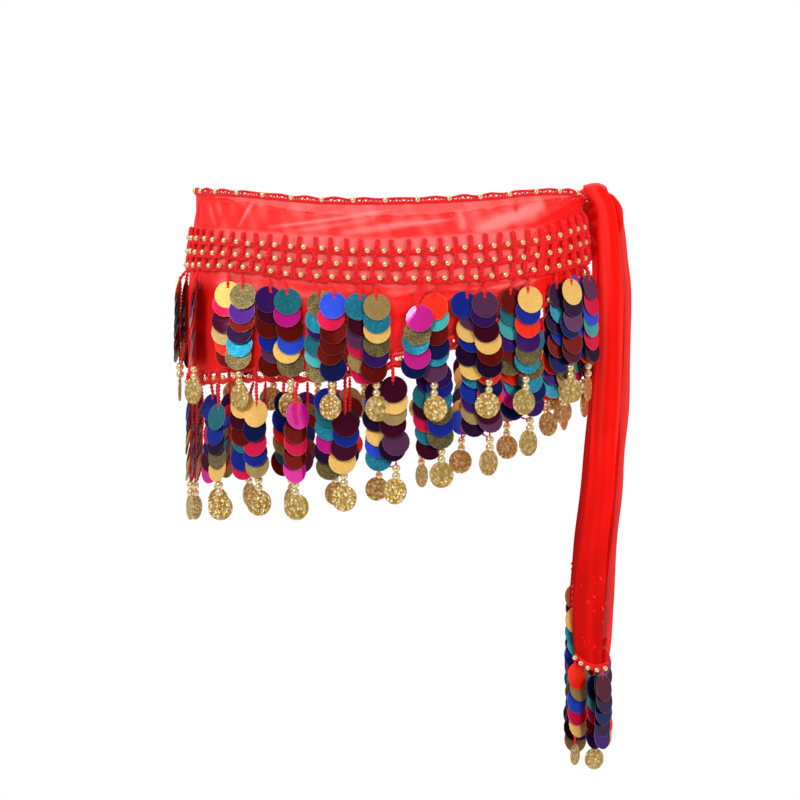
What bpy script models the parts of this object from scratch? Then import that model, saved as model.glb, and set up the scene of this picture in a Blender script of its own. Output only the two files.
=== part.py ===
"""Belly dance hip scarf of red chiffon, worn and tied at the wearer's left hip.

The wearer faces -Y and +Z is up. The origin is the middle of the hips, at the height of the
scarf's top edge. Every size is in metres.
"""

import math

import bmesh
import bpy
import numpy as np
from mathutils import Matrix, Vector

# Driving sizes of the hips that the scarf goes round
HIP_HALF_WIDTH = 0.164
HIP_HALF_DEPTH = 0.110
FLARE = 0.007
FLARE_DROP = 0.090

# The chiffon and its crochet
CLOTH = 0.0012
CROCHET = 0.0014
CLEAR = 0.0005
SEAM = 0.0003
BAR = 0.0032
STRIP_HEIGHT = 0.0024
BRAID_HEIGHT = 0.0050
COMB_HEIGHT = 0.0095
COMB_BAR = 0.0036

# The grid of the hip wrap: columns go round, rows go down
COLUMNS = 69
END_GAP = 0.0030
TRIM_FROM = 2
CELL = 0.0130
LATTICE_GAP = 0.03
ROWS_ABOVE = 3
ROWS_BAND = 3
ROWS_BELOW = 3
ROWS = ROWS_ABOVE + ROWS_BAND + ROWS_BELOW

# Heights of the wrap's edges at each share of the way from the knot to the far hip
# Columns: share, top edge, top of the lattice band, its bottom, hem
WRAP_EDGES = (
    (0.000, 0.0080, -0.0020, -0.0400, -0.0440),
    (0.047, 0.0100, -0.0075, -0.0460, -0.0520),
    (0.092, 0.0087, -0.0180, -0.0545, -0.0710),
    (0.164, 0.0020, -0.0265, -0.0630, -0.0985),
    (0.250, -0.0016, -0.0316, -0.0651, -0.1227),
    (0.315, -0.0006, -0.0290, -0.0630, -0.1330),
    (0.395, 0.0067, -0.0231, -0.0545, -0.1345),
    (0.500, 0.0145, -0.0137, -0.0485, -0.1390),
)

# Folds of the wrap: pleats that run into the knot, and flutes of the hem
PLEAT_DEPTH = 0.0018
PLEATS = 1.5
PLEAT_REACH = 0.075
FLUTE_DEPTH = 0.0030
FLUTES = 13

# The fringe: pairs of strands of round paillettes. The first strand of each hangs at these columns
UPPER_PAIRS = (3, 5, 8, 11, 14, 18, 21, 24, 27, 31, 34, 37, 41, 44, 47, 50, 54, 57, 60, 63, 65)
LOWER_PAIRS = (3, 5, 8, 11, 14, 17, 20, 23, 26, 29, 32, 36, 39, 42, 45, 48, 51, 54, 57, 60, 63, 65)
DISC = 0.0215
DISC_STEP = 0.0100
BEADS = 0.0090
COIN = 0.0210
STRAND_THICK = 0.0022
THREAD_WIDE = 0.0030
UPPER_STEM = 0.0080
UPPER_DISCS = 6
UPPER_OUT = (0.0043, 0.0014)
LOWER_STEM = 0.0090
LOWER_DISCS = 6
LOWER_OUT = (0.0001, -0.0025)

# The knot, an uneven lump seated on the wrap at the left hip
KNOT_RADII = (0.0150, 0.0155, 0.0215)
KNOT_CENTRE_Y = -0.0030
KNOT_CENTRE_Z = -0.0060
KNOT_SEAT = 0.0004
KNOT_RIDGE = 0.06
KNOT_RIDGES = 5

# The tie ends, folded in three like a letter: columns are height, distance behind the middle,
# across, width of the folded bundle, and half the depth of the bundle
FRONT_TAIL = (
    (-0.0100, 0.0190, 0.1850, 0.0200, 0.0016),
    (0.0050, 0.0195, 0.1830, 0.0230, 0.0018),
    (0.0190, 0.0100, 0.1790, 0.0260, 0.0019),
    (0.0215, -0.0040, 0.1760, 0.0270, 0.0020),
    (0.0160, -0.0168, 0.1775, 0.0260, 0.0020),
    (0.0000, -0.0232, 0.1840, 0.0215, 0.0025),
    (-0.0200, -0.0270, 0.1860, 0.0245, 0.0029),
    (-0.0400, -0.0270, 0.1872, 0.0270, 0.0031),
    (-0.0650, -0.0270, 0.1885, 0.0298, 0.0033),
    (-0.1000, -0.0270, 0.1880, 0.0292, 0.0034),
    (-0.1350, -0.0270, 0.1866, 0.0305, 0.0034),
    (-0.1700, -0.0270, 0.1846, 0.0323, 0.0034),
    (-0.2050, -0.0270, 0.1818, 0.0323, 0.0036),
    (-0.2400, -0.0270, 0.1794, 0.0328, 0.0036),
    (-0.2750, -0.0270, 0.1752, 0.0335, 0.0038),
    (-0.3050, -0.0270, 0.1723, 0.0342, 0.0038),
    (-0.3350, -0.0270, 0.1708, 0.0340, 0.0036),
    (-0.3620, -0.0270, 0.1702, 0.0322, 0.0034),
    (-0.3790, -0.0270, 0.1700, 0.0275, 0.0030),
)
REAR_TAIL = (
    (-0.0294, 0.0000, 0.1815, 0.0200, 0.0018),
    (-0.0480, 0.0080, 0.1850, 0.0240, 0.0024),
    (-0.0800, 0.0120, 0.1865, 0.0280, 0.0032),
    (-0.1300, 0.0130, 0.1855, 0.0290, 0.0034),
    (-0.1900, 0.0130, 0.1820, 0.0300, 0.0034),
    (-0.2450, 0.0130, 0.1775, 0.0310, 0.0036),
    (-0.2900, 0.0130, 0.1725, 0.0320, 0.0036),
    (-0.3300, 0.0130, 0.1690, 0.0320, 0.0036),
    (-0.3620, 0.0130, 0.1675, 0.0250, 0.0032),
)
# One fold line of a tie end: columns are share of half the width, share of half the depth
TAIL_FOLD = (
    (-0.80, -1.00),
    (-0.27, -1.10),
    (0.27, -1.00),
    (0.80, -0.92),
    (0.97, -0.50),
    (0.72, -0.02),
    (0.00, 0.04),
    (-0.74, 0.02),
    (-1.00, 0.48),
    (-0.82, 0.92),
    (-0.27, 1.05),
    (0.40, 1.10),
    (1.00, 1.00),
)

# The fringe of a tie end: columns are distance from the middle, distance behind the cloth,
# number of paillettes, and 1 where a coin ends the strand
TAIL_STRANDS = (
    (-0.0140, -0.0056, 5, 1),
    (0.0090, -0.0056, 5, 0),
    (0.0015, -0.0020, 5, 1),
    (-0.0115, 0.0016, 5, 0),
    (0.0110, 0.0016, 5, 0),
)
TAIL_STEM = 0.0045
TAIL_COIN = 0.0170
TAIL_BACKING = 0.0030
TAIL_BACKING_REACH = (-0.0180, 0.0130, -0.0080, 0.0088)
TAIL_SIDE_STRAND = 0.0500
TAIL_SIDE_ACROSS = -0.0120

# Colours, as sRGB values turned to linear ones
CHIFFON_RED = (0.90, 0.010, 0.010, 1.0)
CROCHET_RED = (0.68, 0.004, 0.008, 1.0)
PAILLETTE_BLUE = (0.03, 0.09, 0.42, 1.0)


def material(name, colour, roughness, metallic):
    """A plain Principled material."""
    made = bpy.data.materials.new(name)
    made.use_nodes = True
    shader = made.node_tree.nodes["Principled BSDF"]
    shader.inputs["Base Color"].default_value = colour
    shader.inputs["Roughness"].default_value = roughness
    shader.inputs["Metallic"].default_value = metallic
    return made


def curve_through(rows, at):
    """The table's other columns at a value of its first one, on a smooth curve through its rows.

    Each span is a cubic whose slopes at its ends come from the rows on both sides.
    """
    table = np.array(rows)
    keys, values = table[:, 0], table[:, 1:]
    slopes = np.gradient(values, keys, axis=0)
    i = int(np.clip(np.searchsorted(keys, at) - 1, 0, len(keys) - 2))
    span = keys[i + 1] - keys[i]
    t = (at - keys[i]) / span
    ease = t * t * (3 - 2 * t)
    lead, trail = t * (1 - t) ** 2, t * t * (t - 1)
    between = values[i] * (1 - ease) + values[i + 1] * ease
    return between + span * (lead * slopes[i] + trail * slopes[i + 1])


def hip_angles():
    """Angles round the hips, with the share of the way round that each one lies at.

    Angle 0 is the left hip and a quarter turn is the front. Equal shares are equal lengths.
    """
    gap = END_GAP / 2 / HIP_HALF_DEPTH
    angle = np.linspace(gap, 2 * math.pi - gap, 1441)
    x, y = HIP_HALF_WIDTH * np.cos(angle), HIP_HALF_DEPTH * np.sin(angle)
    length = np.concatenate([[0], np.cumsum(np.hypot(np.diff(x), np.diff(y)))])
    return angle, length / length[-1]


ANGLES, SHARES = hip_angles()


def hip_frame(share):
    """(point on the hips' oval, outward direction, direction round), at height 0."""
    angle = np.interp(share, SHARES, ANGLES)
    c, s = math.cos(angle), math.sin(angle)
    point = np.array([HIP_HALF_WIDTH * c, -HIP_HALF_DEPTH * s, 0.0])
    out = np.array([c / HIP_HALF_WIDTH, -s / HIP_HALF_DEPTH, 0.0])
    out /= np.linalg.norm(out)
    return point, out, np.array([out[1], -out[0], 0.0])


def flare(height):
    """How much further out than the top edge the hips are at a height."""
    t = min(max(-height / FLARE_DROP, 0.0), 1.0)
    return FLARE * t * (2 - t)


def hip_point(share, height, out=0.0):
    """A point on the hips, moved out level."""
    point, outward, _ = hip_frame(share)
    return point + outward * (flare(height) + out) + np.array([0, 0, height])


def wrap_heights(share):
    """Heights of the top edge, the lattice's top, its bottom, and the hem."""
    return curve_through(WRAP_EDGES, min(share, 1 - share))


def fold(share, down):
    """How far the cloth's folds move it: pleats near the knot, flutes at the hem."""
    near = math.exp(-((min(share, 1 - share) / PLEAT_REACH) ** 2))
    hem_from = (ROWS_ABOVE + ROWS_BAND) / ROWS
    above = min(down / hem_from, 1.0)
    pleat = PLEAT_DEPTH * near * (1 - above) * math.cos(2 * math.pi * PLEATS * above)
    below = max(0.0, down - hem_from) / (1 - hem_from)
    flute = FLUTE_DEPTH * (1 - near) * below * (math.sin(2 * math.pi * FLUTES * share) - 1) / 2
    return pleat + flute


def wrap_panel():
    """The wrap's inner face as an array of points, by column and row."""
    stops = (0, ROWS_ABOVE, ROWS_ABOVE + ROWS_BAND, ROWS)
    panel = np.zeros((COLUMNS + 1, ROWS + 1, 3))
    for column in range(COLUMNS + 1):
        share = column / COLUMNS
        heights = np.interp(np.arange(ROWS + 1), stops, wrap_heights(share))
        for row, height in enumerate(heights):
            panel[column, row] = hip_point(share, height, fold(share, row / ROWS))
    return panel


def moved_out(panel, distance):
    """The panel's points moved along its own normals, away from the body."""
    around, down = np.gradient(panel, axis=0), np.gradient(panel, axis=1)
    normal = np.cross(around, down)
    return panel + distance * normal / np.linalg.norm(normal, axis=2, keepdims=True)


def on_panel(panel, column, row):
    """The point at a fractional column and row, between the four points around it."""
    c = min(int(column), panel.shape[0] - 2)
    r = min(int(row), panel.shape[1] - 2)
    u, v = column - c, row - r
    top = panel[c, r] * (1 - u) + panel[c + 1, r] * u
    bottom = panel[c, r + 1] * (1 - u) + panel[c + 1, r + 1] * u
    return top * (1 - v) + bottom * v


def new_object(name, bm, look, smooth=True):
    """An object from a bmesh, in the scarf's collection."""
    mesh = bpy.data.meshes.new(name)
    bm.to_mesh(mesh)
    bm.free()
    mesh.materials.append(look)
    if smooth:
        mesh.shade_smooth()
    made = bpy.data.objects.new(name, mesh)
    SCARF.objects.link(made)
    return made


def thicken(made, thickness, offset=1.0, even=True):
    """A wall from an open surface; offset 1 puts it all on the outer side."""
    solidify = made.modifiers.new("wall", "SOLIDIFY")
    solidify.thickness = thickness
    solidify.offset = offset
    solidify.use_even_offset = even
    return made


def grid(columns, rows, width, height):
    """A flat grid of cells from (0, 0) to (width, height)."""
    bm = bmesh.new()
    place = Matrix.Translation((width / 2, height / 2, 0)) @ Matrix.Diagonal((width, height, 1, 1))
    bmesh.ops.create_grid(bm, x_segments=columns, y_segments=rows, size=0.5, matrix=place)
    return bm


def open_cells(bm, bar):
    """Cuts a hole through every cell, leaving bars, and opens the first row upwards."""
    cells = bm.faces[:]
    bmesh.ops.inset_individual(bm, faces=cells, thickness=bar / 2, use_even_offset=True)
    tops = [f for f in bm.faces if f not in cells and f.calc_center_median().y < bar * 0.3]
    bmesh.ops.delete(bm, geom=cells + tops, context="FACES")


def make_wrap(panel, look):
    """The chiffon round the hips, with its pleats and flutes."""
    bm = grid(COLUMNS, ROWS, COLUMNS, ROWS)
    for vertex in bm.verts:
        vertex.co = panel[round(vertex.co.x), round(vertex.co.y)]
    return thicken(new_object("hip_wrap", bm, look), CLOTH)


def make_lattice(name, panel, first, last, look):
    """A length of the crochet lattice, from one column of the wrap to another."""
    columns = last - first
    bm = grid(columns, ROWS_BAND, columns * CELL, ROWS_BAND * CELL)
    open_cells(bm, BAR)
    for vertex in bm.verts:
        along = vertex.co.x / CELL / columns
        column = first + LATTICE_GAP / 2 + along * (columns - LATTICE_GAP)
        vertex.co = on_panel(panel, column, ROWS_ABOVE + vertex.co.y / CELL)
    return thicken(new_object(name, bm, look, False), CROCHET)


def make_braid(panel, look):
    """The crochet edging that stands on the top edge, in arches from stitch to stitch."""
    first, last = TRIM_FROM, COLUMNS - TRIM_FROM
    bm = grid(last - first, 1, last - first, 1)
    for vertex in bm.verts:
        column = first + round(vertex.co.x)
        arch = BRAID_HEIGHT if (column - first) % 2 else BRAID_HEIGHT * 0.8
        lift = SEAM if vertex.co.y > 0.5 else arch
        vertex.co = panel[column, 0] + np.array([0, 0, lift])
    return thicken(new_object("top_braid", bm, look), CROCHET)


def strand_sections(stem, discs, coin):
    """(drop, width) down a strand: thread, paillettes, and a coin as wide as given, or none."""
    end = stem + DISC + (discs - 1) * DISC_STEP
    sections = [
        (stem, THREAD_WIDE),
        (stem + DISC * 0.3, DISC * 0.95),
        (end - DISC * 0.3, DISC * 0.95),
        (end, THREAD_WIDE),
    ]
    if coin:
        hang = end + BEADS
        sections += [(hang, THREAD_WIDE), (hang + coin / 2, coin), (hang + coin, THREAD_WIDE)]
    return sections


def hang_strands(bm, feet, pairs, stem, discs, outs):
    """Hangs the pairs of strands, the first of each pair further out, from their feet.

    feet gives for each column the two corners of the backing that a strand starts from. A strand
    is a ribbon that shares them.
    """
    for first in pairs:
        for member in (0, 1):
            column = first + member
            _, out, side = hip_frame(column / COLUMNS)
            last = feet[column]
            root = (last[0].co + last[1].co) / 2
            for drop, width in strand_sections(stem, discs, 0 if member else COIN):
                moved = min(drop / stem, 1.0)
                far = moved * outs[member] + flare(root.z - drop) - flare(root.z)
                middle = np.array(root) + out * far - np.array([0, 0, drop])
                across = side * width / 2
                ends = [bm.verts.new(middle - across), bm.verts.new(middle + across)]
                bm.faces.new((last[0], last[1], ends[1], ends[0]))
                last = ends


def is_strand_column(column):
    """Whether a strand of the upper tier hangs at a column."""
    return column in UPPER_PAIRS or column - 1 in UPPER_PAIRS


def make_upper_fringe(panel, look):
    """The strip under the lattice with the upper tier of strands."""
    row = ROWS_ABOVE + ROWS_BAND
    half = THREAD_WIDE / 2 / CELL
    bm = bmesh.new()

    def corner(column, drop):
        return bm.verts.new(on_panel(panel, column, row) - np.array([0, 0, SEAM + drop]))

    feet = {}
    before = None
    for column in range(TRIM_FROM, COLUMNS - TRIM_FROM + 1):
        top = corner(column, 0)
        if is_strand_column(column):
            low = (corner(column - half, STRIP_HEIGHT), corner(column + half, STRIP_HEIGHT))
            bm.faces.new((top, low[1], low[0]))
        else:
            low = (corner(column, STRIP_HEIGHT),) * 2
        if before:
            bm.faces.new((before[0], top, low[0], before[1]))
        before = (top, low[1])
        feet[column] = low
    hang_strands(bm, feet, UPPER_PAIRS, UPPER_STEM, UPPER_DISCS, UPPER_OUT)
    return thicken(new_object("upper_fringe", bm, look, False), STRAND_THICK, 1.0, False)


def make_lower_fringe(panel, look):
    """The crochet comb that hangs on the hem, with the lower tier of strands.

    Each column has a stem that ends in the comb's bar, and the gaps between stems are open.
    """
    half = COMB_BAR / 2 / CELL
    bm = bmesh.new()

    def corner(column, drop):
        return bm.verts.new(on_panel(panel, column, ROWS) - np.array([0, 0, SEAM + drop]))

    feet = {}
    before = None
    for column in range(TRIM_FROM, COLUMNS - TRIM_FROM + 1):
        left, right = [
            [corner(column + way * half, drop) for drop in (0, COMB_HEIGHT - COMB_BAR, COMB_HEIGHT)]
            for way in (-1, 1)
        ]
        bm.faces.new((left[0], right[0], right[1], left[1]))
        bm.faces.new((left[1], right[1], right[2], left[2]))
        if before:
            bm.faces.new((before[1], left[1], left[2], before[2]))
        before = right
        feet[column] = (left[2], right[2])
    hang_strands(bm, feet, LOWER_PAIRS, LOWER_STEM, LOWER_DISCS, LOWER_OUT)
    return thicken(new_object("lower_fringe", bm, look, False), STRAND_THICK, 1.0, False)


def make_knot(look):
    """The knot: a round lump, ridged by the folds that cross it, seated on the wrap."""
    seat = HIP_HALF_WIDTH + flare(KNOT_CENTRE_Z) + CLOTH + KNOT_SEAT
    radii = Vector(KNOT_RADII)
    centre = Vector((seat + radii.x * (1 + KNOT_RIDGE), KNOT_CENTRE_Y, KNOT_CENTRE_Z))
    bm = bmesh.new()
    bmesh.ops.create_uvsphere(bm, u_segments=20, v_segments=12, radius=1.0)
    for vertex in bm.verts:
        slant = math.atan2(vertex.co.z, vertex.co.y) + vertex.co.x
        swell = 1 + KNOT_RIDGE * math.cos(KNOT_RIDGES * slant) * (1 - vertex.co.x**2)
        vertex.co = centre + vertex.co * radii * swell
    return new_object("knot", bm, look)


def tail_frames(rows):
    """For each row of a tie end: its middle, half width, half depth, and the depth's direction."""
    table = np.array(rows)
    middles = table[:, [2, 1, 0]]
    along = np.gradient(middles, axis=0)
    frames = []
    for middle, direction, (width, depth) in zip(middles, along, table[:, 3:]):
        back = np.cross(direction, [1.0, 0.0, 0.0])
        back /= np.linalg.norm(back)
        frames.append((middle, width / 2, depth, back))
    return frames


def make_tail(name, rows, look):
    """A tie end: the fold line carried down the table's rows."""
    frames = tail_frames(rows)
    bm = grid(len(TAIL_FOLD) - 1, len(rows) - 1, len(TAIL_FOLD) - 1, len(rows) - 1)
    for vertex in bm.verts:
        across, deep = TAIL_FOLD[round(vertex.co.x)]
        middle, half, depth, back = frames[round(vertex.co.y)]
        vertex.co = middle + np.array([across * half, 0, 0]) - back * (deep * depth)
    return thicken(new_object(name, bm, look), CLOTH, 0.0, False)


def add_box(bm, low, high):
    """A box between two corners."""
    low, high = Vector(low), Vector(high)
    size = high - low
    place = Matrix.Translation((low + high) / 2) @ Matrix.Diagonal((*size, 1))
    bmesh.ops.create_cube(bm, size=1.0, matrix=place)


def add_strand(bm, sections, top, side, out):
    """A four-sided strand straight down: a rectangle at each section, joined to the next."""
    rings = []
    for drop, width in sections:
        middle = top - np.array([0, 0, drop])
        corners = ((-1, -1), (1, -1), (1, 1), (-1, 1))
        rings.append(
            [
                bm.verts.new(middle + side * (u * width / 2) + out * (v * STRAND_THICK / 2))
                for u, v in corners
            ]
        )
    for upper, lower in zip(rings, rings[1:]):
        for i in range(4):
            j = (i + 1) % 4
            bm.faces.new((upper[i], upper[j], lower[j], lower[i]))
    bm.faces.new(rings[0][::-1])
    bm.faces.new(rings[-1])


def make_tail_fringe(name, rows, look):
    """The crochet strip under the end of a tie, with its strands, one of them hung higher up."""
    end_height, front, across = rows[-1][:3]
    top = end_height - CLEAR - SEAM
    left, right, near, far = TAIL_BACKING_REACH
    bm = bmesh.new()
    add_box(bm, (across + left, front + near, top - TAIL_BACKING), (across + right, front + far, top))
    backing = new_object(name, bm, look, False)
    strands = bmesh.new()
    side, out = np.array([1.0, 0, 0]), np.array([0, -1.0, 0])
    for x, y, discs, coin in TAIL_STRANDS:
        root = np.array([across + x, front + y, top - TAIL_BACKING / 2])
        sections = strand_sections(TAIL_STEM, discs, TAIL_COIN if coin else 0)
        add_strand(strands, [(0, THREAD_WIDE), *sections], root, side, out)
    high = np.array([across + TAIL_SIDE_ACROSS, front + far - STRAND_THICK, top])
    high[2] += TAIL_SIDE_STRAND
    reach = TAIL_SIDE_STRAND + TAIL_BACKING / 2
    sections = [(0, THREAD_WIDE), (DISC * 0.4, DISC * 0.7), (reach - DISC * 0.4, DISC * 0.7)]
    add_strand(strands, [*sections, (reach, THREAD_WIDE)], high, side, out)
    bmesh.ops.recalc_face_normals(strands, faces=strands.faces[:])
    made = new_object(name + "_strands", strands, look, False)
    SCARF.objects.unlink(made)
    CUTTERS.objects.link(made)
    made.hide_render = True
    made.display_type = "WIRE"
    union = backing.modifiers.new("strands", "BOOLEAN")
    union.operation = "UNION"
    union.object = made
    union.solver = "EXACT"
    return backing


def main():
    chiffon = material("red_chiffon", CHIFFON_RED, 0.55, 0.0)
    crochet = material("red_crochet", CROCHET_RED, 0.75, 0.0)
    paillette = material("paillettes", PAILLETTE_BLUE, 0.25, 0.6)
    panel = wrap_panel()
    trim = moved_out(panel, CLOTH + CLEAR)
    middle = COLUMNS // 2
    make_wrap(panel, chiffon)
    make_lattice("lattice_front", trim, TRIM_FROM, middle, crochet)
    make_lattice("lattice_back", trim, middle, COLUMNS - TRIM_FROM, crochet)
    make_braid(panel, crochet)
    make_upper_fringe(trim, paillette)
    make_lower_fringe(panel, paillette)
    make_knot(chiffon)
    make_tail("front_tail", FRONT_TAIL, chiffon)
    make_tail("rear_tail", REAR_TAIL, chiffon)
    make_tail_fringe("front_tail_fringe", FRONT_TAIL, paillette)
    make_tail_fringe("rear_tail_fringe", REAR_TAIL, paillette)


for old in list(bpy.data.objects):
    bpy.data.objects.remove(old)
SCARF = bpy.data.collections.new("hip_scarf")
CUTTERS = bpy.data.collections.new("cutters")
bpy.context.scene.collection.children.link(SCARF)
bpy.context.scene.collection.children.link(CUTTERS)
main()
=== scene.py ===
"""Belly dance hip scarf of red chiffon, worn and tied at the left hip, dressed for a studio picture.

Metres, +Z up. The wearer faces -Y, and the knot is at +X. Each section holds one group of pieces.
"""

import math

import bmesh
import bpy
import numpy as np
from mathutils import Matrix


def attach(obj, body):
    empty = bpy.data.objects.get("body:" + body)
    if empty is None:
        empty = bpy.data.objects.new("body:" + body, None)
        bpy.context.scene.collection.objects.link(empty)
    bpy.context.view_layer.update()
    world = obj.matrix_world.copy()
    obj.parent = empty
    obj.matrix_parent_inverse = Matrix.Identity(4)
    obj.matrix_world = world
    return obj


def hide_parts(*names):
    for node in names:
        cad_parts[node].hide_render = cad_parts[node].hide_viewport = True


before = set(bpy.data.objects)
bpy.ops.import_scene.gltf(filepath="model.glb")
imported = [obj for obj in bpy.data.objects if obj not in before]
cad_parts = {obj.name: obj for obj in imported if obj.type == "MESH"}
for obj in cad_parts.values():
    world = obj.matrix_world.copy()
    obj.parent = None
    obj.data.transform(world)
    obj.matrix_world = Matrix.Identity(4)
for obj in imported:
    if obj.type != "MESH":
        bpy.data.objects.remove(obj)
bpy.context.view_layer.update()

# The camera stands far back and level, a little below the scarf's hem, so the far side of the
# scarf stays behind its front. At the middle of the hips the view is 0.68 m wide.
camera_data = bpy.data.cameras.new("camera")
camera_data.sensor_width = 36.0
camera_data.lens = 36.0 * 2.4 / 0.68
camera = bpy.data.objects.new("camera", camera_data)
camera.location = (0.0085, -2.4, -0.1606)
camera.rotation_euler = (math.pi / 2, 0, 0)
bpy.context.scene.collection.objects.link(camera)
bpy.context.scene.camera = camera


# The hip wrap is one stretch of thin red polyester chiffon, plain woven. It goes round the hips
# from the knot and back to it, lies close at the top, and flutes a little at its cut hem. Where it
# is folded double, or seen along its surface, it is a deeper red.
HALF_WIDTH, HALF_DEPTH = 0.164, 0.110
AROUND, STEP_DOWN = 0.866, 0.042
CLOTH_OUT = 0.0006
THREAD_GAP = 0.0013
turns = np.linspace(0.0015 / HALF_DEPTH, 2 * math.pi - 0.0015 / HALF_DEPTH, 2881)
steps = np.hypot(HALF_WIDTH * np.diff(np.cos(turns)), HALF_DEPTH * np.diff(np.sin(turns)))
shares = np.concatenate([[0], np.cumsum(steps)]) / steps.sum()
# Share of the way from the knot to the far hip, top edge, band's top, band's bottom, hem
EDGES = np.array([
    (0.000, 0.0080, -0.0020, -0.0400, -0.0440),
    (0.047, 0.0100, -0.0075, -0.0460, -0.0520),
    (0.092, 0.0087, -0.0180, -0.0545, -0.0710),
    (0.164, 0.0020, -0.0265, -0.0630, -0.0985),
    (0.250, -0.0016, -0.0316, -0.0651, -0.1227),
    (0.315, -0.0006, -0.0290, -0.0630, -0.1330),
    (0.395, 0.0067, -0.0231, -0.0545, -0.1345),
    (0.500, 0.0145, -0.0137, -0.0485, -0.1390),
])
# Creases: share and depth of the start and the end, width and height in millimetres. A depth of
# 0 is the top edge, 1 and 2 are the band's edges, and 3 is the hem. Troughs are below zero.
CREASES = np.array([
    (0.384, 0.10, 0.399, 0.86, 1.8, 1.7),
    (0.366, 0.80, 0.248, 0.16, 2.0, 1.7),
    (0.350, 0.92, 0.262, 0.40, 3.2, 0.9),
    (0.298, 0.86, 0.216, 0.46, 4.5, 1.5),
    (0.250, 0.62, 0.188, 0.48, 2.2, 1.4),
    (0.184, 0.20, 0.180, 0.85, 3.0, 1.3),
    (0.172, 0.90, 0.090, 0.26, 7.5, 2.4),
    (0.120, 0.98, 0.022, 0.24, 3.0, -1.8),
    (0.100, 0.99, 0.008, 0.50, 2.6, 1.8),
    (0.124, 0.02, 0.127, 0.50, 1.4, -1.6),
    (0.430, 0.15, 0.424, 0.60, 4.0, 0.9),
    (0.330, 0.30, 0.290, 0.08, 2.5, -0.9),
    (0.230, 0.12, 0.200, 0.22, 2.5, -0.8),
    (0.445, 0.20, 0.430, 0.90, 3.0, 1.2),
    (0.475, 0.15, 0.470, 0.80, 2.0, -1.0),
    (0.360, 2.22, 0.235, 2.32, 3.2, 2.2),
    (0.235, 2.34, 0.110, 2.28, 3.4, 2.0),
    (0.350, 2.40, 0.200, 2.58, 2.0, -1.6),
    (0.430, 2.12, 0.345, 2.30, 2.4, 1.6),
    (0.420, 2.35, 0.330, 2.62, 3.0, -1.4),
    (0.150, 2.20, 0.045, 2.30, 3.0, 1.6),
    (0.290, 2.60, 0.270, 3.00, 4.0, 1.4),
    (0.220, 2.55, 0.205, 3.00, 4.0, 1.4),
    (0.600, 0.12, 0.590, 0.85, 3.0, 1.4),
    (0.650, 0.80, 0.740, 0.22, 3.5, 1.4),
    (0.720, 0.88, 0.790, 0.45, 4.0, 1.2),
    (0.815, 0.20, 0.820, 0.85, 4.0, 1.2),
    (0.835, 0.92, 0.920, 0.32, 6.0, 2.0),
    (0.880, 0.98, 0.978, 0.30, 3.5, -1.5),
    (0.900, 0.99, 0.990, 0.52, 3.0, 1.8),
    (0.545, 0.20, 0.550, 0.90, 3.0, -1.0),
    (0.640, 2.24, 0.760, 2.34, 3.2, 2.0),
    (0.770, 2.32, 0.880, 2.26, 3.2, 2.0),
    (0.660, 2.42, 0.790, 2.60, 2.4, -1.5),
    (0.580, 2.15, 0.650, 2.34, 2.4, 1.5),
    (0.730, 2.60, 0.745, 3.00, 4.0, 1.3),
    (0.850, 2.20, 0.950, 2.30, 3.0, 1.5),
])


def round_hips(share):
    """Point, outward direction and direction round, on the oval, for shares of the way round."""
    turn = np.interp(share, shares, turns)
    c, s, level = np.cos(turn), np.sin(turn), np.zeros_like(turn)
    out = np.stack([c / HALF_WIDTH, -s / HALF_DEPTH, level], -1)
    out /= np.linalg.norm(out, axis=-1, keepdims=True)
    point = np.stack([HALF_WIDTH * c, -HALF_DEPTH * s, level], -1)
    return point, out, np.stack([out[..., 1], -out[..., 0], level], -1)


def unit(value):
    """A value kept between 0 and 1."""
    return np.clip(value, 0, 1)


def bell(across, width):
    """1 in the middle of a bell and towards 0 away from it."""
    return np.exp(-((across / width) ** 2))


def from_knot(share):
    """Share of the way round from the knot, whichever way is the shorter."""
    return np.minimum(share, 1 - share)


def flare(height):
    """How much further out than the top edge the hips are: 7 mm more at 90 mm down, eased."""
    t = unit(-height / 0.090)
    return 0.007 * t * (2 - t)


def cubic(table, slopes, i, t):
    """Values between row i of a table and the next row, and what the slopes there add to them."""
    ease = t * t * (3 - 2 * t)
    lead, trail = t * (1 - t) ** 2, t * t * (t - 1)
    between = table[i] * (1 - ease) + table[i + 1] * ease
    return between, lead * slopes[i] + trail * slopes[i + 1]


def through_rows(table, at):
    """The rows of a table at fractional row numbers, on a cubic through each row."""
    i = np.clip(np.floor(at).astype(int), 0, len(table) - 2)
    between, bend = cubic(table, np.gradient(table, axis=0), i, (at - i)[..., None])
    return between + bend


def edge_heights(share):
    """Heights of the wrap's four lines, on a cubic through the table's rows, alike front and back."""
    keys, heights = EDGES[:, 0], EDGES[:, 1:]
    slopes = np.gradient(heights, keys, axis=0)
    at = from_knot(share)
    i = np.clip(np.searchsorted(keys, at) - 1, 0, len(keys) - 2)
    span = (keys[i + 1] - keys[i])[..., None]
    between, bend = cubic(heights, slopes, i, (at - keys[i])[..., None] / span)
    return between + span * bend


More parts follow.
